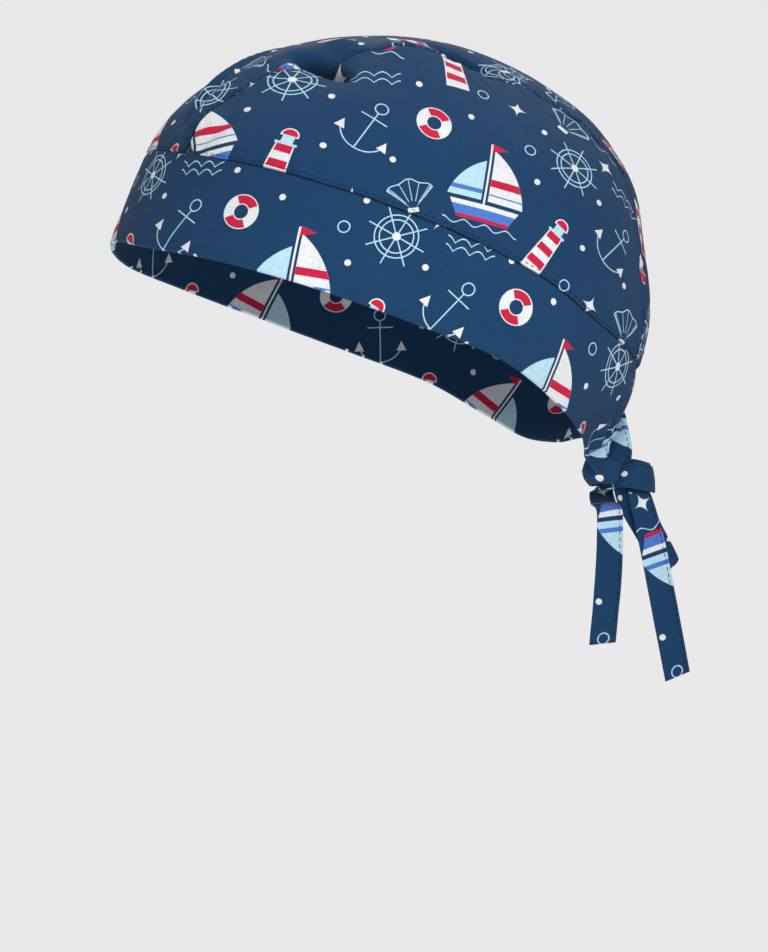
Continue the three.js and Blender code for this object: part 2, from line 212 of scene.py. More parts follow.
TIE_SLANT = -1  # how far the corners of a tie's cut end lie from square
TIE_PLEAT_COUNT = 1.5
TIE_RIPPLE = 0.3
TIE_RIPPLE_PITCH = 8
TIE_RIPPLE_SPREAD = 1.3  # part of the ripples' chart across a tie, and its start
TIE_RIPPLE_START = 8
TIE_FLATNESS = 4  # powers that shape a tie's section: flat faces, round edges
TIE_ROUNDNESS = 0.3
TIE_CROWDING = 0.5
TIE_STITCH_PLACE = 0.74  # share of the half width

# Sewing
CROWN_GROOVE = 0.5  # how far a sewn edge is drawn in
BAND_GROOVE = 0.35
GROOVE_SPREAD = 0.45
SEAM_PAINTED_SHADE = 0.75  # painted shade: the dark line of shadow in a seam's ditch, as a share of light lost, and its reach to either side
SEAM_LINE = 0.36
NO_SEAM = 99
TUCK_PAINTED_SHADE = 0.7  # painted shade: share of light lost at the bottom of a tuck, darkened in the colour
TUCK_START = 1  # depths where that loss starts and is whole
TUCK_BOTTOM = 6
BAND_PUCKER = 0.3  # rise of the puckers along the band's seam
CROWN_PUCKER = 0.6  # along the crown's side of it
PANEL_PUCKER = 0.95  # and along the seams between the panels
PUCKER_PITCH = 3.3
PUCKER_REACH = 6.5
PUCKER_RUN = 14  # how far a pucker keeps its form, away from its seam
BROAD_PUCKER = 0.7  # broader puckers among them: share of the rise, pitch and run
BROAD_PITCH = 2.3 * PUCKER_PITCH
BROAD_RUN = 20
EDGE_HOLD = 0.8  # how soon puckers start, and waves start, from an edge that is sewn down
WAVE_HOLD = 5
SEAM_WANDER = 0.5  # how far the panel seams stray from a smooth line
SEAM_WANDER_PITCH = 2.6  # degrees over the head
SEAM_WANDER_SEED = 5
BAND_WANDER = 0.16  # and the band's seam
BAND_WANDER_PITCH = 3.4  # degrees round the head
BAND_WANDER_SEED = 7
SEAM_BULGE = 0.4  # the crown swells a little over the band
SEAM_BULGE_REACH = 9
STITCH_PITCH = 2.6
STITCH_LENGTH = 2.0
STITCH_RADIUS = 0.15
STITCH_BOW = 1.9  # rise of a stitch's middle and depth of its ends, in radii
STITCH_DIP = 0.9
STITCH_TIP = 0.55  # girth of its ends, as a share of the middle's
STITCH_OFFSET = 1.5  # from the seam to its topstitching
HEM_OFFSET = 5  # from the crown's back edge to its hem stitches

# Unevenness of the cloth
NOISE_SIZE = 256
SOFT_WAVES = [
    # rise, pitch, seed
    (0.65, 34, 37),
    (0.32, 15, 42),
    (0.12, 6, 47),
]
BAND_WAVES = [
    # rise, pitch along, pitch across, seed
    (0.6, 55, 26, 21),
    (0.25, 18, 30, 22),
    (0.1, 7, 6, 23),
]
GATHER_LIFT = 1.0  # folds where the ends of the band are drawn together
GATHER_REACH = 26
GATHER_FOLDS = 2.5
GATHER_PHASE = 0.8

# Colours of the cloth, linear
NAVY = (0.0080, 0.0400, 0.1050)
PALE_BLUE = (0.400, 0.600, 0.710)
MID_BLUE = (0.055, 0.165, 0.510)
WHITE = (0.650, 0.665, 0.680)
CRIMSON = (0.490, 0.012, 0.048)
REVERSE = (0.110, 0.160, 0.240)
REVERSE_SHARE = 0.72
THREAD = (0.004, 0.014, 0.036)

# The print: a repeat with a half drop, in millimetres
REPEAT = (108, 124)
EDGE_SOFTNESS = 0.16
FINE_LINE = 0.45
BOATS = [(0, 0, -8)]
LIGHTHOUSES = [(31, -10, 14)]
ANCHORS = [(59, 9, 22)]
WHEELS = [(31, 27, 10)]
SHELLS = [(80, -13, -25)]
LIFEBUOYS = [(82, 19, 12)]
STARS = [(4, 42, 0), (44, 38, 20)]
WAVES = [(58, 33, -6)]
DOTS = [(45, 20), (45, -2), (70, -1), (95, 28), (18, 12), (20, -28), (70, -26)]
BUBBLES = [(98, 42), (66, 86)]
TIE_CUT = (44, 106)  # where on the repeat the free end of each tie lies

# Finish of the cotton: how much each kind of unevenness shows in its tone and its bump
WEAVE_PITCH = 0.5
THREADS_PER_MM = 2.4
THREAD_RUN = 0.2  # changes in a thread's thickness per millimetre
SLUBS_PER_MM = 1.9
CLOUDS_PER_MM = 0.05
WEAVE_TONE = 0.05
STREAK_TONE = 0.45
SLUB_TONE = 0.25
CLOUD_TONE = 0.2
STREAK_BUMP = 2
SLUB_BUMP = 1.5
BUMP_STRENGTH = 0.5
BUMP_HEIGHT = 0.00015
COTTON_ROUGHNESS = 0.78
SLUB_ROUGHNESS = 0.14
COTTON_FINISH = {"Specular IOR Level": 0.12, "Sheen Weight": 0.03, "Sheen Roughness": 0.5}

# Finish of the sewing thread
FIBRES_PER_METRE = 2600
FIBRE_TONE = (0.6, 1.4)
FIBRE_ROUGHNESS = (0.55, 0.85)
THREAD_SPECULAR = 0.08


# Curves and the worn form

def curve_through(keys, values):
    """A smooth curve through a table's rows, as a function of any array of keys."""
    keys = np.asarray(keys, float)
    values = np.asarray(values, float)
    order = np.arange(len(keys))
    before = np.maximum(order - 1, 0)
    after = np.minimum(order + 1, order[-1])
    slopes = (values[after] - values[before]) / (keys[after] - keys[before])

    def at(key):
        nxt = np.clip(np.searchsorted(keys, key), 1, order[-1])
        span = keys[nxt] - keys[nxt - 1]
        u = np.clip((key - keys[nxt - 1]) / span, 0, 1)
        ease = u * u * (3 - 2 * u)
        leaving = u * (1 - u) ** 2 * span * slopes[nxt - 1]
        arriving = u * u * (u - 1) * span * slopes[nxt]
        return values[nxt - 1] + (values[nxt] - values[nxt - 1]) * ease + leaving + arriving

    return at


def level_of(rise):
    """Root of the share of the height left above, by which the ovals grow."""
    return np.sqrt(np.maximum(1 - rise / CROWN_HEIGHT, 0))


def oval_reach(side):
    keys = level_of(SECTIONS["rise"])
    reaches = SECTIONS[side]
    return curve_through(np.r_[-keys[1], keys], np.r_[-reaches[1], reaches])


front_reach, side_reach, back_reach = map(oval_reach, ("front", "side", "back"))
hem_rise, smooth_seam, stand_off, end_slant = [
    curve_through(BAND["azimuth"], BAND[column]) for column in ("hem", "seam", "off", "slant")
]
centre_half = curve_through(CENTRE_PANEL["overhead"], CENTRE_PANEL["half"])
RIGHT_END = BAND["azimuth"][0]
LEFT_END = BAND["azimuth"][-1]


def mix(a, b, share):
    return a + (b - a) * share


def unit(vectors):
    return vectors / np.linalg.norm(vectors, axis=-1, keepdims=True)


def vectors_of(x, y, z):
    return np.stack(np.broadcast_arrays(x, y, z), axis=-1).astype(float)


def is_outside(points):
    x, y, z = np.moveaxis(points, -1, 0)
    level = level_of(z)
    reach = np.where(y < WIDEST_Y, front_reach(level), back_reach(level))
    across = np.abs(x) / np.maximum(side_reach(level), TINY)
    along = np.abs(y - WIDEST_Y) / np.maximum(reach, TINY)
    return (z >= CROWN_HEIGHT) | (across**OVAL_POWER + along**OVAL_POWER > 1)


def meet_skin(start, direction):
    """Where straight lines from inside the cap meet its smooth outer form."""
    inside = np.zeros(direction.shape[:-1])
    outside = np.full(direction.shape[:-1], float(MAX_REACH))
    for _ in range(BISECTIONS):
        middle = (inside + outside) / 2
        out = is_outside(start + direction * middle[..., None])
        outside = np.where(out, middle, outside)
        inside = np.where(out, inside, middle)
    return start + direction * inside[..., None]


def skin_at_azimuth(azimuth, rise, off=0):
    turn = np.radians(azimuth)
    direction = vectors_of(np.sin(turn), -np.cos(turn), 0)
    start = vectors_of(0, WIDEST_Y, rise)
    return meet_skin(start, direction) + direction * np.asarray(off)[..., None]


def skin_overhead(overhead, across):
    turn = np.radians(overhead)
    direction = vectors_of(0, -np.cos(turn), np.sin(turn))
    return meet_skin(vectors_of(across, WIDEST_Y, HEART_RISE), direction)


def overhead_of(points):
    return np.degrees(np.arctan2(points[..., 2] - HEART_RISE, WIDEST_Y - points[..., 1]))


def crease_lift(overhead, across):
    """Rise of the narrow creases, worked out on a flat chart of the crown."""
    chart = np.stack([np.radians(overhead) * CREASE_RADIUS, across], -1)
    lift = np.zeros(across.shape)
    for turn, side, end_turn, end_side, width, height in CREASES:
        start = np.array([math.radians(turn) * CREASE_RADIUS, side])
        run = np.array([math.radians(end_turn) * CREASE_RADIUS, end_side]) - start
        share = np.clip((chart - start) @ run / (run @ run), 0, 1)
        aside = np.linalg.norm(chart - start - share[..., None] * run, axis=-1)
        lift += height * np.sin(np.pi * share) * np.exp(-((aside / width) ** 2))
    return lift


def fold_lift(points):
    """Rise of the crown's dents, puffs and creases over its smooth form."""
    overhead = overhead_of(points)
    lift = crease_lift(overhead, points[..., 0])
    for at_overhead, at_across, along_spread, across_spread, height in FOLDS:
        along = (overhead - at_overhead) / along_spread
        across = (points[..., 0] - at_across) / across_spread
        lift += height * np.exp(-(along**2) - across**2)
    return lift


def lifted(points, lift):
    return points + unit(points - HEART) * lift[..., None]


def tuck_share(lift):
    """How far into a tuck the cloth lies, from 0 outside it to 1 at its bottom, which sets the painted
    shade in tucks.
    """
    return np.clip((-lift - TUCK_START) / (TUCK_BOTTOM - TUCK_START), 0, 1)


def between_on_skin(low, high, share):
    """Places on the smooth form, by their share of the angle between two of its points."""
    start = unit(low - HEART)
    end = unit(high - HEART)
    angle = np.arccos(np.clip((start * end).sum(-1, keepdims=True), -1, 1))
    direction = start * np.sin((1 - share) * angle) + end * np.sin(share * angle)
    return meet_skin(HEART, unit(direction))


def noise(x, y, seed):
    """Smooth random values from -1 to 1 that change over about one unit."""
    size = NOISE_SIZE
    values = np.random.default_rng(seed).uniform(-1, 1, (size, size))
    left = np.floor(x).astype(int)
    low = np.floor(y).astype(int)
    u = x - left
    v = y - low
    u = u * u * (3 - 2 * u)
    v = v * v * (3 - 2 * v)
    a = values[left % size, low % size]
    b = values[(left + 1) % size, low % size]
    c = values[left % size, (low + 1) % size]
    d = values[(left + 1) % size, (low + 1) % size]
    return mix(mix(a, b, u), mix(c, d, u), v)


def seam_rise(azimuth):
    """Rise of the seam between band and crown, which strays a little."""
    wander = noise(azimuth / BAND_WANDER_PITCH, 0, BAND_WANDER_SEED)
    return smooth_seam(azimuth) + BAND_WANDER * wander


def band_point(azimuth, share):
    """Place on the band by its share of the way from the lower edge to the seam."""
    rise = mix(hem_rise(azimuth), seam_rise(azimuth), share)
    turn = azimuth + end_slant(azimuth) * mix(-1, 1, share)
    return skin_at_azimuth(turn, rise, stand_off(azimuth))


def crown_edge_rise(azimuth):
    return np.maximum(seam_rise(azimuth), BACK_EDGE_RISE) + SEAM_GAP


def overhead_at_edge(below, point_at, count):
    """Angles over the head at which lines cross the crown's lower edge."""
    low = np.full(count, float(below))
    high = np.full(count, 90.0)
    for _ in range(BISECTIONS):
        middle = (low + high) / 2
        points = point_at(middle)
        azimuth = np.degrees(np.arctan2(points[..., 0], WIDEST_Y - points[..., 1]))
        under = points[..., 2] < crown_edge_rise(azimuth)
        low = np.where(under, middle, low)
        high = np.where(under, high, middle)
    return high


# Detail of the cloth

def soft_noise(points, pitch, seed):
    x, y, z = np.moveaxis(points / pitch, -1, 0)
    return (noise(x, y, seed) + noise(y, z, seed + 1) + noise(z, x, seed + 2)) / 2


def panel_seam(overhead):
    """Half width of the centre panel along its sewn edge."""
    wander = noise(overhead / SEAM_WANDER_PITCH, 0, SEAM_WANDER_SEED)
    return centre_half(overhead) + SEAM_WANDER * wander


def lengths_along(grid, axis):
    """How far each point of a grid lies from the grid's edge, along one axis."""
    steps = np.linalg.norm(np.diff(grid, axis=axis), axis=-1)
    start = np.zeros_like(np.take(steps, [0], axis=axis))
    return np.concatenate([start, np.cumsum(steps, axis=axis)], axis=axis)


def facings(grid):
    along = np.gradient(grid, axis=0)
    across = np.gradient(grid, axis=1)
    return unit(np.cross(along, across))


def points_along(wanted, keys, points):
    """Points on a line at wanted places along its keys."""
    return np.stack([np.interp(wanted, keys, points[:, k]) for k in range(3)], -1)


def crowded(count):
    """Shares from 0 to 1 that lie closer together near both ends."""
    t = np.linspace(0, 1, count + 1)
    return t - EDGE_CROWDING * np.sin(2 * np.pi * t) / (2 * np.pi)


def freed(distance, hold):
    """Share of its own movement that cloth has at a distance from a sewn edge."""
    return 1 - np.exp(-distance / hold)


def sewn_edge(distance, along, pucker, seed, depth=CROWN_GROOVE):
    """Rise of the cloth beside a seam: drawn in at the edge, with puckers that fade away from it."""
    groove = -depth * np.exp(-((distance / GROOVE_SPREAD) ** 2))
    ridges = noise(along / PUCKER_PITCH, distance / PUCKER_RUN, seed)
    ridges += BROAD_PUCKER * noise(along / BROAD_PITCH, distance / BROAD_RUN, seed + 1)
    return groove + pucker * ridges * freed(distance, EDGE_HOLD) * np.exp(-distance / PUCKER_REACH)


def unevenness(points):
    """Slow and fine waves of cloth that isn't pressed flat, alike on both sides of a seam."""
    return sum(rise * soft_noise(points, pitch, seed) for rise, pitch, seed in SOFT_WAVES)


def bulge(distance):
    """Swell of the crown over the band, by the distance from their seam."""
    share = distance / SEAM_BULGE_REACH
    return SEAM_BULGE * share * np.exp(1 - share)


# Meshes

def tilted(points):
    """Points of the level frame, tipped as the head opening is."""
    turn = math.radians(-BAND_TILT)
    x, y, z = np.moveaxis(points, -1, 0)
    back = y * math.cos(turn) - z * math.sin(turn)
    up = y * math.sin(turn) + z * math.cos(turn)
    return np.stack([x, back, up], -1)


def raised(grid, rise):
    """A grid moved outwards by its rise and tipped into place, and the way it then faces."""
    outer = grid + facings(grid) * rise[..., None]
    return tilted(outer), tilted(facings(outer))


def tube_faces(index):
    """Faces round a tube, whose rings of points lie along the last axis."""
    low, high = index[..., :-1, :], index[..., 1:, :]
    return np.stack([low, np.roll(low, -1, -1), np.roll(high, -1, -1), high], -1).reshape(-1, 4)


def add_object(name, data):
    thing = bpy.data.objects.new(name, data)
    bpy.context.scene.collection.objects.link(thing)
    return thing


def mesh_piece(name, points, faces, materials, face_material=None, cut=None, tuck=None):
    """A smooth mesh from points in millimetres. Cut holds each point's place on the flat cloth and
    how far it lies from the nearest seam, and tuck how deep it lies in a tuck."""
    mesh = bpy.data.meshes.new(name)
    mesh.from_pydata((points * MM).tolist(), [], faces.tolist())
    for material in materials:
        mesh.materials.append(material)
    if face_material is not None:
        mesh.polygons.foreach_set("material_index", face_material.astype(np.int32))
    mesh.polygons.foreach_set("use_smooth", np.ones(len(faces), bool))
    if cut is not None:
        attribute = mesh.attributes.new("cut_mm", "FLOAT_VECTOR", "POINT")
        attribute.data.foreach_set("vector", cut.astype(np.float32).ravel())
    if tuck is not None:
        attribute = mesh.attributes.new("tuck_share", "FLOAT", "POINT")
        attribute.data.foreach_set("value", tuck.astype(np.float32))
    mesh.update()
    return add_object(name, mesh)


def edge_loop(shape):
    """Places of a grid's border, in order: along its first side, up, back and down."""
    last_i, last_j = shape[0] - 1, shape[1] - 1
    loop = [(i, 0) for i in range(last_i)]
    loop += [(last_i, j) for j in range(last_j)]
    loop += [(i, last_j) for i in range(last_i, 0, -1)]
    loop += [(0, j) for j in range(last_j, 0, -1)]
    return np.array(loop)


def cloth_shell(name, outer, facing, wall, cut, tuck, materials):
    """A closed cloth wall behind a grid of points, with a rounded edge all round."""
    inner = outer - facing * wall
    count = outer.shape[0] * outer.shape[1]
    index = np.arange(count).reshape(outer.shape[:2])
    a, b = index[:-1, :-1].ravel(), index[1:, :-1].ravel()
    c, d = index[1:, 1:].ravel(), index[:-1, 1:].ravel()
    front = np.stack([a, b, c, d], -1)
    back = np.stack([a, d, c, b], -1) + count
    loop = edge_loop(outer.shape[:2])
    border = tuple(loop.T)
    inside = tuple(np.clip(loop, 1, np.array(outer.shape[:2]) - 2).T)
    edge = outer[border]
    middle = (edge + inner[border]) / 2
    rim = middle + unit(edge - outer[inside]) * wall * RIM_BOW
    here = index[border]
    there = np.roll(here, -1)
    rim_here = 2 * count + np.arange(len(loop))
    rim_there = np.roll(rim_here, -1)
    upper = np.stack([there, here, rim_here, rim_there], -1)
    lower = np.stack([rim_there, rim_here, here + count, there + count], -1)
    points = np.concatenate([outer.reshape(-1, 3), inner.reshape(-1, 3), rim])
    faces = np.concatenate([front, back, upper, lower])
    face_material = np.zeros(len(faces))
    face_material[len(front):len(front) + len(back)] = len(materials) - 1
    flat = np.concatenate([cut.reshape(-1, 3), cut.reshape(-1, 3), cut[border]])
    depth = np.concatenate([tuck.ravel(), np.zeros(count), tuck[border]])
    return mesh_piece(name, points, faces, materials, face_material, flat, depth)


def stitch_row(path, facing):
    """Stitches along a line on the cloth: short bowed threads that dip in at both ends."""
    length = lengths_along(path, 0)
    starts = np.arange(0, length[-1] - STITCH_LENGTH, STITCH_PITCH)
    share = np.linspace(0, 1, STITCH_RINGS)
    arch = np.sin(np.pi * share)
    places = starts[:, None] + share * STITCH_LENGTH
    at = points_along(places, length, path)
    up = unit(points_along(places, length, facing))
    run = unit(np.gradient(at, axis=1))
    over = unit(np.cross(run, up))
    rise = STITCH_RADIUS * (STITCH_BOW * arch - STITCH_DIP)
    girth = STITCH_RADIUS * mix(STITCH_TIP, 1, arch)
    centre = at + up * rise[:, None]
    angle = np.linspace(0, 2 * np.pi, STITCH_SIDES, endpoint=False)
    ring = over[:, :, None] * np.cos(angle)[:, None] + up[:, :, None] * np.sin(angle)[:, None]
    points = centre[:, :, None] + ring * girth[:, None, None]
    index = np.arange(points[..., 0].size).reshape(points.shape[:3])
    faces = [tube_faces(index)]
    for cap in (index[:, 0, ::-1], index[:, -1]):
        faces.append(cap[:, [0, 1, 2, 3]])
        faces.append(cap[:, [0, 3, 4, 5]])
    return points.reshape(-1, 3), np.concatenate(faces)


def stitching(name, lines, material):
    """Rows of stitches along several lines, as one piece of thread."""
    points, faces, used = [], [], 0
    for line in lines:
        row_points, row_faces = stitch_row(*line)
        points.append(row_points)
        faces.append(row_faces + used)
        used += len(row_points)
    return mesh_piece(name, np.concatenate(points), np.concatenate(faces), [material])


# The pieces of the cap

def line_at(grid, facing, distance, wanted):
    """The line on a grid that lies at a wanted distance across it, and the way it faces."""
    path = [points_along(wanted, far, points) for far, points in zip(distance, grid)]
    up = [points_along(wanted, far, face) for far, face in zip(distance, facing)]
    return np.array(path), unit(np.array(up))


def make_band(cotton, seed):
    azimuth = np.linspace(RIGHT_END, LEFT_END, BAND_STEPS[0] + 1)[:, None]
    share = crowded(BAND_STEPS[1])[None, :]
    azimuth, share = np.broadcast_arrays(azimuth, share)
    grid = band_point(azimuth, share)
    along = lengths_along(grid, 0)
    across = lengths_along(grid, 1)
    to_seam = across[:, -1:] - across
    to_end = np.minimum(along, along[-1:] - along)
    sewn = np.abs(azimuth) < PANEL_AZIMUTH[1]
    gather = np.exp(-((to_end / GATHER_REACH) ** 2))
    waves = gather * GATHER_LIFT * np.cos(2 * np.pi * GATHER_FOLDS * share + GATHER_PHASE)
    for lift, pitch_along, pitch_across, wave_seed in BAND_WAVES:
        waves += lift * noise(along / pitch_along, across / pitch_across, wave_seed)
    rise = sewn * sewn_edge(to_seam, along, BAND_PUCKER, seed, BAND_GROOVE)
    rise += waves * freed(to_seam, WAVE_HOLD)
    outer, facing = raised(grid, rise)
    middle = along[:, BAND_STEPS[1] // 2][:, None]
    cut = vectors_of(middle - middle.mean(), across, np.where(sewn, to_seam, NO_SEAM))
    no_tuck = np.zeros(share.shape)
    return cloth_shell("band_cloth", outer, facing, BAND_WALL, cut, no_tuck, [cotton])


def side_panel_cut(grid, side):
    """Places on the flat cloth: arcs from the middle of the panel."""
    middle = unit(np.array(PANEL_MIDDLE) * (side, 1, 1))
    back = unit(np.cross((0, 0, 1), middle)) * side
    up = unit(np.cross(middle, back)) * side
    direction = unit(grid - HEART)
    angle = np.arccos(np.clip(direction @ middle, -1, 1))
    east = direction @ (back * side)
    north = direction @ up
    reach = CHART_RADIUS * angle / np.maximum(np.hypot(east, north), TINY)
    return east * reach, north * reach


def make_side_panel(name, side, cloths, thread, seed):
    turned = np.linspace(0, 1, SIDE_STEPS[0] + 1)[:, None]
    if side < 0:
        turned = 1 - turned
    share = crowded(SIDE_STEPS[1])[None, :, None]
    azimuth = side * mix(*PANEL_AZIMUTH, turned)
    overhead = mix(*PANEL_OVERHEAD, turned)
    low = skin_at_azimuth(azimuth, crown_edge_rise(azimuth))
    high = skin_overhead(overhead, side * (panel_seam(overhead) + SEAM_GAP / 2))
    smooth = between_on_skin(low, high, share)
    lift = fold_lift(smooth)
    grid = lifted(smooth, lift)
    along = lengths_along(grid, 0)
    across = lengths_along(grid, 1)
    to_centre = across[:, -1:] - across
    rise = sewn_edge(across, along, CROWN_PUCKER, seed)
    rise += sewn_edge(to_centre, along, PANEL_PUCKER, seed + 3)
    rise += bulge(across)
    rise += unevenness(grid) * freed(across, WAVE_HOLD)
    outer, facing = raised(grid, rise)
    cut = vectors_of(*side_panel_cut(smooth, side), np.minimum(across, to_centre))
    panel = cloth_shell(name + "_cloth", outer, facing, CROWN_WALL, cut, tuck_share(lift), cloths)
    line = line_at(outer, facing, across, STITCH_OFFSET)
    return panel, stitching(name + "_stitching", [line], thread)


def make_centre_panel(cloths, thread, seed):
    share = mix(1, -1, crowded(CENTRE_STEPS[1]))

    def point_at(overhead):
        return skin_overhead(overhead, share * (panel_seam(overhead) - SEAM_GAP / 2))

    front = overhead_at_edge(0, point_at, len(share))
    back = overhead_at_edge(180, point_at, len(share))
    overhead = mix(front, back, np.linspace(0, 1, CENTRE_STEPS[0] + 1)[:, None])
    smooth = point_at(overhead)
    lift = fold_lift(smooth)
    grid = lifted(smooth, lift)
    along = lengths_along(grid, 0)
    across = lengths_along(grid, 1)
    to_right = across[:, -1:] - across
    rise = sewn_edge(across, along, PANEL_PUCKER, seed)
    rise += sewn_edge(to_right, along, PANEL_PUCKER, seed + 3)
    rise += sewn_edge(along, across, CROWN_PUCKER, seed + 6)
    rise += bulge(along)
    rise += unevenness(grid) * freed(along, WAVE_HOLD)
    outer, facing = raised(grid, rise)
    to_seam = np.minimum(np.minimum(across, to_right), along)
    cut = vectors_of((to_right - across) / 2, along, to_seam)
    panel = cloth_shell("crown_centre_cloth", outer, facing, CROWN_WALL, cut, tuck_share(lift), cloths)
    turned, turned_facing, from_front = [np.swapaxes(field, 0, 1) for field in (outer, facing, along)]
    to_back = (from_front[:, -1:] - from_front)[:, ::-1]
    lines = [
        line_at(outer, facing, across, STITCH_OFFSET),
        line_at(outer[:, ::-1], facing[:, ::-1], to_right[:, ::-1], STITCH_OFFSET),
        line_at(turned, turned_facing, from_front, STITCH_OFFSET),
        line_at(turned[:, ::-1], turned_facing[:, ::-1], to_back, HEM_OFFSET),
    ]
    return panel, stitching("crown_centre_stitching", lines, thread)


def rows_from_band(end, inward):
    """The first two rows of a tie, which run straight out of the end of the band."""
    places = [(end, 0), (end, 0.5), (end, 1), (end + inward, 0.5)]
    hem, middle, seam, before = [tilted(band_point(np.array(a, float), np.array(s))) for a, s in places]
    across = unit(seam - hem)
    run = middle - before
    run = unit(run - across * (run @ across))
    outward = np.cross(across, run) * np.sign(inward)
    start = middle - outward * BAND_WALL / 2 - KNOT
    lean = math.degrees(math.atan2(across[2], across[1]))
    rows = []
    for distance, share in zip((-TIE_START_OVERLAP, TIE_START_STRAIGHT), TIE_START_SHARES):
        width = np.linalg.norm(seam - hem) * share
        rows.append((*(start + run * distance), width, TIE_START_THICK, lean, 0, TIE_START_PLEAT))
    return rows


def make_tie(name, rows, cotton, thread, seed):
    """A folded strip along its route, with its edge stitched down."""
    table = columns(TIE_COLUMNS, rows)
    places = np.array([row[:3] for row in rows]) + KNOT
    order = np.arange(len(rows))
    key = np.r_[0, np.cumsum(np.sqrt(np.linalg.norm(np.diff(places, axis=0), axis=1)))]
    row = np.linspace(0, order[-1], order[-1] * TIE_STEPS_PER_ROW + 1)
    at = np.interp(row, order, key)
    route = np.stack([curve_through(key, places[:, k])(at) for k in range(3)], -1)
    run = unit(np.gradient(route, axis=0))
    shapes = [curve_through(order, table[column])(row)[:, None] for column in TIE_COLUMNS.split()[3:]]
    width, thick, lean, cup, pleat = shapes
    across = vectors_of(0, np.cos(np.radians(lean[:, 0])), np.sin(np.radians(lean[:, 0])))
    across = unit(across - run * (across * run).sum(-1, keepdims=True))
    face = np.cross(run, across)
    length = lengths_along(route, 0)[:, None]
    at_end = np.exp(-(((length[-1] - length) / TIE_WIDTH) ** 2))

    def surface(wide, side):
        """Points on the tie by their place across it, from -1 to 1, on either side."""
        depth = side * (1 - wide**TIE_FLATNESS) ** TIE_ROUNDNESS * thick / 2
        depth = depth - cup * (1 - wide**2)
        depth = depth + pleat * np.cos(2 * np.pi * TIE_PLEAT_COUNT * wide + seed)
        chart = wide * TIE_RIPPLE_SPREAD + TIE_RIPPLE_START
        depth = depth + TIE_RIPPLE * noise(length / TIE_RIPPLE_PITCH, chart, seed)
        points = route[:, None] + across[:, None] * (wide * width / 2)[..., None]
        points = points + run[:, None] * (TIE_SLANT * wide * at_end)[..., None]
        return points + face[:, None] * depth[..., None]

    angle = np.linspace(0, 2 * np.pi, TIE_SIDES, endpoint=False)
    wide = np.sign(np.cos(angle)) * np.abs(np.cos(angle)) ** TIE_CROWDING
    points = surface(wide, np.sign(np.sin(angle)))
    cut = vectors_of(wide * TIE_WIDTH / 2 + TIE_CUT[0], length - length[-1] + TIE_CUT[1], NO_SEAM)
    index = np.arange(len(row) * TIE_SIDES).reshape(-1, TIE_SIDES)
    faces = [tube_faces(index)]
    half = TIE_SIDES // 2
    for ring, turn in ((index[0], 1), (index[-1], -1)):
        for k in range(half - 1):
            strip = [ring[k], ring[k + 1], ring[-k - 2], ring[-k - 1]]
            faces.append(np.array([strip[::-turn]]))
    faces = np.concatenate(faces)
    tie = mesh_piece(name + "_cloth", points.reshape(-1, 3), faces, [cotton], None, cut.reshape(-1, 3))
    place = np.array([TIE_STITCH_PLACE])
    lines = [(surface(place, side)[:, 0], face * side) for side in (1, -1)]
    return tie, stitching(name + "_stitching", lines, thread)


# Materials, written as sums of shader nodes

MIX_PLACES = {"VECTOR": (4, 5, 1), "RGBA": (6, 7, 2)}  # a mix node's two inputs and its output


class Number:
    """A number that shader nodes work out, so that their sums can be written as sums."""

    def __init__(self, socket):
        self.socket = socket

    def __add__(self, other):
        return node_math("ADD", self, other)

    def __sub__(self, other):
        return node_math("SUBTRACT", self, other)

    def __rsub__(self, other):
        return node_math("SUBTRACT", other, self)

    def __mul__(self, other):
        return node_math("MULTIPLY", self, other)

    def __abs__(self):
        return node_math("ABSOLUTE", self)

    __radd__ = __add__
    __rmul__ = __mul__


def feed(tree, socket, value):
    """Give a node's input a number, another node's output or a plain value."""
    if isinstance(value, Number):
        value = value.socket
    if isinstance(value, bpy.types.NodeSocket):
        tree.links.new(value, socket)
    else:
        socket.default_value = value


def set_inputs(node, values):
    for key, value in values.items():
        feed(node.id_data, node.inputs[key], value)


def node_math(operation, *values, clamp=False):
    tree = next(value.socket.id_data for value in values if isinstance(value, Number))
    node = tree.nodes.new("ShaderNodeMath")
    node.operation = operation
    node.use_clamp = clamp
    for socket, value in zip(node.inputs, values):
        feed(tree, socket, value)
    return Number(node.outputs[0])


def vector_math(tree, operation, *values):
    node = tree.nodes.new("ShaderNodeVectorMath")
    node.operation = operation
    for socket, value in zip(node.inputs, values):
        feed(tree, socket, value)
    return node


def parts_of(tree, vector):
    """A vector's three numbers."""
    split = tree.nodes.new("ShaderNodeSeparateXYZ")
    tree.links.new(vector, split.inputs[0])
    return [Number(socket) for socket in split.outputs]


def mix_node(tree, kind, share, first, second):
    """A share of the way from one colour or vector to another."""
    node = tree.nodes.new("ShaderNodeMix")
    node.data_type = kind
    first_place, second_place, result = MIX_PLACES[kind]
    set_inputs(node, {0: share, first_place: first, second_place: second})
    return node.outputs[result]


def largest(*values):
    return reduce(partial(node_math, "MAXIMUM"), values)


def smallest(*values):
    return reduce(partial(node_math, "MINIMUM"), values)


def far_from(x, y):
    return node_math("SQRT", x * x + y * y)


def disc(x, y, across, up, radius):
    return far_from(x - across, y - up) - radius


def stripe(y, up, half):
    return abs(y - up) - half


def bar(x, y, up, half_width, half_height):
    return largest(abs(x) - half_width, stripe(y, up, half_height))


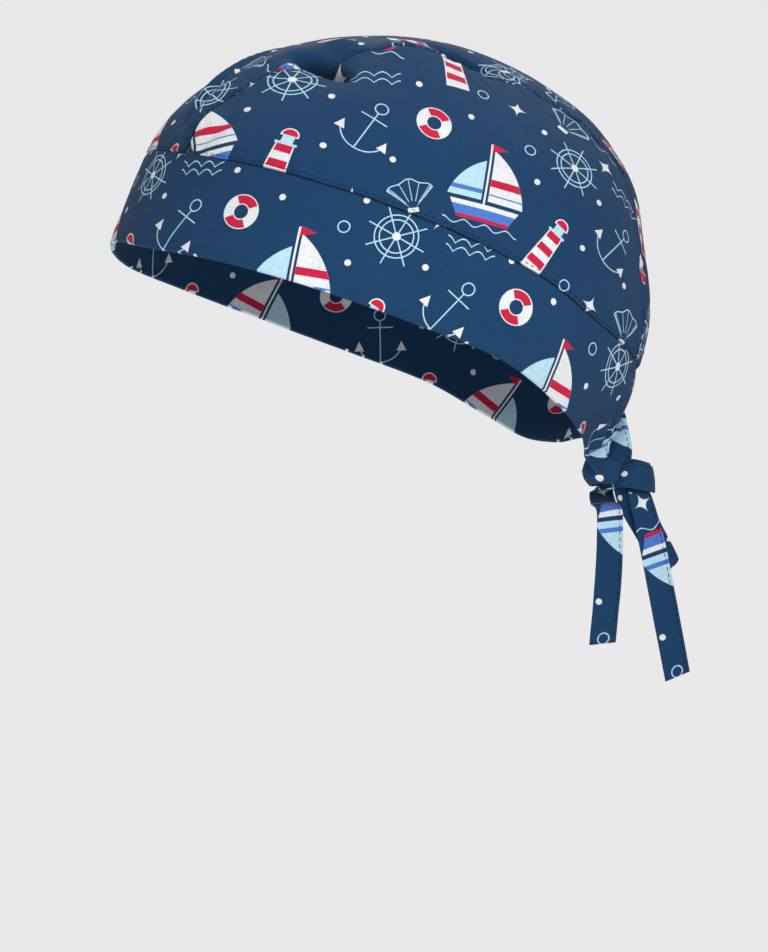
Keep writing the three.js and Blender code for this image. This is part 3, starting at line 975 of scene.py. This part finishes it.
class Print:
    """The print on a cloth: shapes laid over each other, each in one colour."""

    def __init__(self, tree, place, ground):
        self.tree = tree
        self.place = place
        self.colour = ground

    def nearest(self, rows):
        """Place in the nearest of a motif's copies, as numbers across and up."""
        tree = self.tree
        half = (REPEAT[0] / 2, REPEAT[1] / 2, 1)
        best = None
        for across, up, *turn in rows:
            for drop in (0, 1):
                centre = (across + drop * half[0], up + drop * half[1], 0)
                moved = vector_math(tree, "SUBTRACT", self.place, centre).outputs[0]
                inside = vector_math(tree, "WRAP", moved, half, tuple(-side for side in half)).outputs[0]
                if turn:
                    rotate = tree.nodes.new("ShaderNodeVectorRotate")
                    rotate.rotation_type = "Z_AXIS"
                    angle = math.radians(turn[0] * (1 - 2 * drop))
                    set_inputs(rotate, {"Vector": inside, "Angle": angle})
                    inside = rotate.outputs[0]
                far = Number(vector_math(tree, "LENGTH", inside).outputs["Value"])
                if best is None:
                    best, best_far = inside, far
                    continue
                best = mix_node(tree, "VECTOR", node_math("LESS_THAN", far, best_far), best, inside)
                best_far = smallest(far, best_far)
        return parts_of(tree, best)[:2]

    def fill(self, colour, *shapes):
        """Lay a colour where shapes overlap. A shape is a distance that is below zero inside it."""
        shown = node_math("MULTIPLY_ADD", largest(*shapes), -1 / EDGE_SOFTNESS, 0.5, clamp=True)
        self.colour = mix_node(self.tree, "RGBA", shown, self.colour, (*colour, 1))


# Motifs of the print: each is drawn in millimetres across and up from its own middle

def draw_boat(cloth):
    x, y = cloth.nearest(BOATS)
    sail_foot = -4.5
    sail_gap = 1.4
    deck = -6.2
    keel = -13.5
    cloth.fill(WHITE, bar(x, y, 6, 0.4, 13.5))
    sail = largest(sail_gap - x, sail_foot - y, disc(x, y, -15, -10, 31.5))
    cloth.fill(WHITE, sail)
    cloth.fill(CRIMSON, sail, stripe(y, 3.4, 1.5))
    cloth.fill(MID_BLUE, sail, stripe(y, -1.6, 0.3))
    jib = largest(x + sail_gap, sail_foot - y, disc(x, y, 10, -12, 26.5))
    cloth.fill(PALE_BLUE, jib)
    cloth.fill(MID_BLUE, jib, stripe(y, -1, 0.9))
    hull = largest(y - deck, keel - y, abs(x - 0.4) - (y + 11) * 0.5 - 12)
    cloth.fill(MID_BLUE, hull)
    cloth.fill(WHITE, hull, deck - 2 - y)
    cloth.fill(CRIMSON, hull, y - keel - 1.5)
    flag = largest(0.5 - x, abs(y - 18) + (x - 6.5) * 0.3)
    cloth.fill(CRIMSON, flag)
    swell = node_math("SINE", x * 0.7)
    cloth.fill(PALE_BLUE, abs(y + 15.4 - swell) - FINE_LINE / 2, abs(x) - 16)


def draw_lighthouse(cloth):
    x, y = cloth.nearest(LIGHTHOUSES)
    dome_foot = 10.6
    rim = 0.5
    stripes = node_math("SINE", y * 0.98)
    tower = largest(abs(x) + y * 0.07 - 3.2, stripe(y, -3, 9.5))
    dome = largest(disc(x, y, 0, dome_foot, 2.7), dome_foot - y)
    cloth.fill(WHITE, smallest(tower, dome) - rim)
    cloth.fill(CRIMSON, tower, stripes)
    cloth.fill(PALE_BLUE, bar(x, y, 9, 2.1, 2))
    cloth.fill(CRIMSON, dome)
    cloth.fill(PALE_BLUE, bar(x, y, 6.9, 3.9, 0.5))


def draw_anchor(cloth):
    x, y = cloth.nearest(ANCHORS)
    ring = abs(disc(x, y, 0, 9.8, 2.3))
    shank = bar(x, y, -1.2, 0, 8.7)
    stock = bar(x, y, 4.6, 5, 0)
    arms = largest(abs(disc(x, y, 0, -0.8, 9.2)), y + 3.6)
    cloth.fill(PALE_BLUE, smallest(ring, shank, stock, arms) - FINE_LINE / 2)
    fluke = largest(abs(abs(x) - 8.6) + (y + 1.2) * 0.5, -5.2 - y)
    cloth.fill(WHITE, fluke)


def draw_wheel(cloth):
    x, y = cloth.nearest(WHEELS)
    far = far_from(x, y)
    turn = node_math("ARCTAN2", y, x)
    half_turn = math.pi / 8  # between two spokes
    spoke = abs(node_math("WRAP", turn, half_turn, -half_turn)) * far
    rings = smallest(abs(far - 8), abs(far - 6.2))
    spokes = largest(spoke, abs(far - 6.6) - 4.6)
    cloth.fill(PALE_BLUE, smallest(rings, spokes) - FINE_LINE / 2)
    cloth.fill(WHITE, far - 1.6)


def draw_shell(cloth):
    x, y = cloth.nearest(SHELLS)
    above_hinge = y + 6.4
    half_turn = 0.175  # between two ribs
    turn = node_math("ARCTAN2", x, above_hinge)
    far = far_from(x, above_hinge)
    edge = far - node_math("COSINE", turn * 9) * 0.55 - 12.4
    body = largest(edge, abs(turn) * 8 - 6.2)
    cloth.fill(PALE_BLUE, abs(body) - FINE_LINE / 2)
    ribs = abs(node_math("WRAP", turn, half_turn, -half_turn)) * far - FINE_LINE / 3
    cloth.fill(PALE_BLUE, ribs, body, 4 - far)
    cloth.fill(WHITE, bar(x, y, -6.2, 2.2, 0.9))


def draw_lifebuoy(cloth):
    x, y = cloth.nearest(LIFEBUOYS)
    ring = abs(far_from(x, y) - 4.7) - 1.6
    cloth.fill(WHITE, ring - 0.4)
    cloth.fill(CRIMSON, ring, abs(x) - abs(y))


def draw_small_motifs(cloth):
    x, y = cloth.nearest(STARS)
    arms = node_math("SQRT", abs(x)) + node_math("SQRT", abs(y))
    cloth.fill(WHITE, (arms - 2.1) * 0.8)
    x, y = cloth.nearest(WAVES)
    crest = abs(node_math("SINE", x * 0.5)) * 2.2
    rows = smallest(abs(y - crest), abs(y + 3.2 - crest))
    cloth.fill(PALE_BLUE, rows - FINE_LINE / 2, abs(x) - 9.4)
    x, y = cloth.nearest(DOTS)
    cloth.fill(WHITE, far_from(x, y) - 1.2)
    x, y = cloth.nearest(BUBBLES)
    cloth.fill(PALE_BLUE, abs(far_from(x, y) - 2.1) - FINE_LINE / 2)


def new_material(name):
    material = bpy.data.materials.new(name)
    material.use_nodes = True
    tree = material.node_tree
    return material, tree, tree.nodes["Principled BSDF"]


def noise_value(tree, place, scale, detail=2):
    node = tree.nodes.new("ShaderNodeTexNoise")
    set_inputs(node, {"Vector": place, "Scale": scale, "Detail": detail})
    return Number(node.outputs["Fac"])


def shade_by(tree, colour, amount):
    """A colour made lighter and darker by a number around one."""
    node = vector_math(tree, "SCALE", colour)
    feed(tree, node.inputs["Scale"], amount)
    return node.outputs[0]


def weave_height(tree, place):
    """Over and under of the threads of a plain weave."""
    x, y, _ = parts_of(tree, place)
    pitch = 2 * math.pi / WEAVE_PITCH
    return node_math("SINE", x * pitch) * node_math("SINE", y * pitch)


def thread_streaks(tree, place):
    """Thick and thin threads, as noise drawn out along the warp and along the weft."""
    streaks = 0
    for stretch in ((THREADS_PER_MM, THREAD_RUN, 1), (THREAD_RUN, THREADS_PER_MM, 1)):
        drawn_out = vector_math(tree, "MULTIPLY", place, stretch).outputs[0]
        streaks = noise_value(tree, drawn_out, 1) + streaks
    return streaks - 1


def attribute_node(tree, name):
    node = tree.nodes.new("ShaderNodeAttribute")
    node.attribute_name = name
    return node


def place_on_cloth(tree):
    """Place on the flat cloth, and distance to the nearest seam."""
    cut = attribute_node(tree, "cut_mm").outputs["Vector"]
    place = vector_math(tree, "MULTIPLY", cut, (1, 1, 0)).outputs[0]
    return place, parts_of(tree, cut)[2]


def make_cotton(name, reverse=False):
    """Printed plain weave, or its paler reverse, with painted shade: darker in its seams and tucks, where
    shadow falls.
    """
    material, tree, shader = new_material(name)
    place, to_seam = place_on_cloth(tree)
    cloth = Print(tree, place, (*NAVY, 1))
    for draw in (draw_small_motifs, draw_wheel, draw_anchor, draw_shell,
                 draw_lifebuoy, draw_lighthouse, draw_boat):
        draw(cloth)
    colour = cloth.colour
    if reverse:
        colour = mix_node(tree, "RGBA", REVERSE_SHARE, colour, (*REVERSE, 1))
    weave = weave_height(tree, place)
    streaks = thread_streaks(tree, place)
    slub = noise_value(tree, place, SLUBS_PER_MM, detail=3)
    cloud = noise_value(tree, place, CLOUDS_PER_MM)
    tone = weave * WEAVE_TONE + streaks * STREAK_TONE
    tone = tone + (slub - 0.5) * SLUB_TONE + (cloud - 0.5) * CLOUD_TONE + 1
    # painted shade: a dark line of shadow along each seam's ditch, painted into the colour
    painted_seam_shadow = node_math("EXPONENT", to_seam * to_seam * (-1 / SEAM_LINE**2))
    # painted shade: the bottoms of the tucks are darkened for the shadow that falls in them
    painted_tuck_shadow = Number(attribute_node(tree, "tuck_share").outputs["Fac"])
    tone = tone * (1 - painted_seam_shadow * SEAM_PAINTED_SHADE) * (1 - painted_tuck_shadow * TUCK_PAINTED_SHADE)
    height = weave + streaks * STREAK_BUMP + slub * SLUB_BUMP
    bump = tree.nodes.new("ShaderNodeBump")
    set_inputs(bump, {"Strength": BUMP_STRENGTH, "Distance": BUMP_HEIGHT, "Height": height})
    set_inputs(shader, {
        "Base Color": shade_by(tree, colour, tone),
        "Roughness": slub * SLUB_ROUGHNESS + COTTON_ROUGHNESS,
        "Normal": bump.outputs[0],
        **COTTON_FINISH,
    })
    return material


def make_thread():
    material, tree, shader = new_material("sewing_thread")
    place = tree.nodes.new("ShaderNodeTexCoord").outputs["Object"]
    fibre = noise_value(tree, place, FIBRES_PER_METRE)
    set_inputs(shader, {
        "Base Color": shade_by(tree, THREAD, mix(*FIBRE_TONE, fibre)),
        "Roughness": mix(*FIBRE_ROUGHNESS, fibre),
        "Specular IOR Level": THREAD_SPECULAR,
    })
    return material


# Stage, light and camera

FLOOR_Z = -1.0
BOWL_RADIUS = 2.9
BOWL_COVE = 1.8
BOWL_HEIGHT = 2.0
BOWL_FLOOR_RINGS = (0.02, 0.4, 0.8)
BOWL_COVE_RINGS = 16
BOWL_SIDES = 96
PURE_WHITE = (1, 1, 1, 1)
BACKDROP_FINISH = {
    "Base Color": (0.3, 0.3, 0.3, 1),
    "Roughness": 0.9,
    "Specular IOR Level": 0.1,
    "Emission Color": PURE_WHITE,
    "Emission Strength": 0.64,
}
LIGHTS = [
    # name, azimuth, elevation, distance, size, watts
    ("key", 90, 13, 0.6, 0.28, 2.8),
    ("top", 255, 72, 1.7, 1.0, 22),
    ("far_side", 262, 25, 1.7, 0.8, 9),
]
SKY_STRENGTH = 0.15
CAMERA_AZIMUTH = 80
CAMERA_ELEVATION = -2
CAMERA_DISTANCE = 1.5
IMAGE_SIZE = (768, 952)
PIXELS_PER_METRE = 2620
ORIGIN_PIXEL = (365, 345)


def pointing(azimuth, elevation):
    a = math.radians(azimuth)
    e = math.radians(elevation)
    return Vector((math.sin(a) * math.cos(e), -math.cos(a) * math.cos(e), math.sin(e)))


def make_backdrop():
    """A pale floor that curves up into a round wall, alike on every side."""
    turn = np.linspace(0, np.pi / 2, BOWL_COVE_RINGS)
    cove_reach = BOWL_RADIUS - BOWL_COVE + BOWL_COVE * np.sin(turn)
    cove_rise = BOWL_COVE - BOWL_COVE * np.cos(turn)
    reach = np.r_[BOWL_FLOOR_RINGS, cove_reach, BOWL_RADIUS]
    rise = np.r_[np.zeros(len(BOWL_FLOOR_RINGS)), cove_rise, BOWL_HEIGHT] + FLOOR_Z
    angle = np.linspace(0, 2 * np.pi, BOWL_SIDES, endpoint=False)
    points = vectors_of(reach[:, None] * np.cos(angle), reach[:, None] * np.sin(angle), rise[:, None])
    index = np.arange(points[..., 0].size).reshape(-1, BOWL_SIDES)
    material, _, shader = new_material("backdrop_paper")
    set_inputs(shader, BACKDROP_FINISH)
    floor = mesh_piece("backdrop", points.reshape(-1, 3) / MM, tube_faces(index), [material])


def make_light():
    for name, azimuth, elevation, distance, size, watts in LIGHTS:
        data = bpy.data.lights.new(name, "AREA")
        data.shape = "DISK"
        data.size = size
        data.energy = watts
        light = add_object(name, data)
        towards = pointing(azimuth, elevation)
        light.location = towards * distance
        light.rotation_euler = (-towards).to_track_quat("-Z", "Y").to_euler()
        light.visible_camera = False
    world = bpy.data.worlds.new("studio")
    world.use_nodes = True
    background = world.node_tree.nodes["Background"]
    set_inputs(background, {"Color": PURE_WHITE, "Strength": SKY_STRENGTH})
    bpy.context.scene.world = world
    bpy.context.scene.view_settings.view_transform = "Standard"


def make_camera():
    back = pointing(CAMERA_AZIMUTH, CAMERA_ELEVATION)
    right = Vector((0, 0, 1)).cross(back).normalized()
    up = back.cross(right)
    across = (IMAGE_SIZE[0] / 2 - ORIGIN_PIXEL[0]) / PIXELS_PER_METRE
    down = (IMAGE_SIZE[1] / 2 - ORIGIN_PIXEL[1]) / PIXELS_PER_METRE
    data = bpy.data.cameras.new("camera")
    data.lens = data.sensor_width * CAMERA_DISTANCE * PIXELS_PER_METRE / IMAGE_SIZE[1]
    camera = add_object("camera", data)
    camera.location = right * across - up * down + back * CAMERA_DISTANCE
    camera.rotation_euler = (-back).to_track_quat("-Z", "Y").to_euler()
    bpy.context.scene.camera = camera


def dress(piece, node=None):
    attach(piece, "root")
    if node:
        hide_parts(node)
    return piece


# The whole scene

make_camera()
make_light()
make_backdrop()

cotton = make_cotton("printed_cotton")
reverse = make_cotton("printed_cotton_reverse", reverse=True)
thread = make_thread()
cloths = [cotton, reverse]

band = dress(make_band(cotton, seed=11), "band")
left, left_sewing = make_side_panel("crown_left", 1, cloths, thread, seed=31)
right, right_sewing = make_side_panel("crown_right", -1, cloths, thread, seed=61)
centre, centre_sewing = make_centre_panel(cloths, thread, seed=91)
left_rows = rows_from_band(LEFT_END, -1) + TIE_LEFT
right_rows = rows_from_band(RIGHT_END, 1) + TIE_RIGHT
tie_left, tie_left_sewing = make_tie("tie_left", left_rows, cotton, thread, seed=71)
tie_right, tie_right_sewing = make_tie("tie_right", right_rows, cotton, thread, seed=81)
dress(left, "crown_left")
dress(right, "crown_right")
dress(centre, "crown_centre")
dress(tie_left, "tie_left")
dress(tie_right, "tie_right")
for sewing in (left_sewing, right_sewing, centre_sewing, tie_left_sewing, tie_right_sewing):
    dress(sewing)
